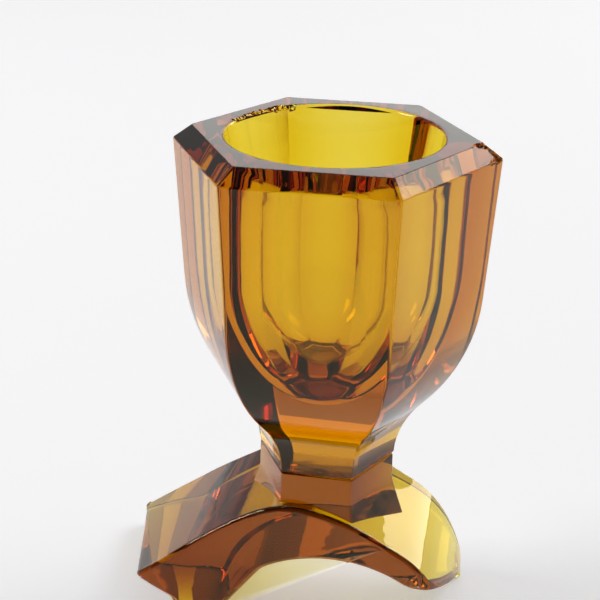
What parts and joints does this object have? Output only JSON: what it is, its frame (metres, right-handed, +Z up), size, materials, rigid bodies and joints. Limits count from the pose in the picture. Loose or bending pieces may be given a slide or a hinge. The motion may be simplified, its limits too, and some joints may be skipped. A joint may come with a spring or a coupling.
{
  "type": "glass candlestick",
  "caption": "Amber pressed-glass candlestick: a hexagonal tulip socket with a round candle bore, bonded to a short pedestal on an arched foot.",
  "frame": {"origin": "middle of the bounding box on the plane the foot stands on", "axes": "+Z up along the candle's axis, +X from the heel of the arched foot to its toe, +Y to the rear side of the arch"},
  "size_m": [0.0475, 0.0334, 0.0649],
  "materials": {
    "amber_glass": "fire-polished, glossy",
    "seam_bond": "dark amber, thin layer",
    "amber_glass_foot": "fire-polished, glossy"
  },
  "bodies": {
    "root": {"socket": "amber_glass", "seam_layer": "seam_bond", "arch_foot": "amber_glass_foot"}
  },
  "joints": []
}
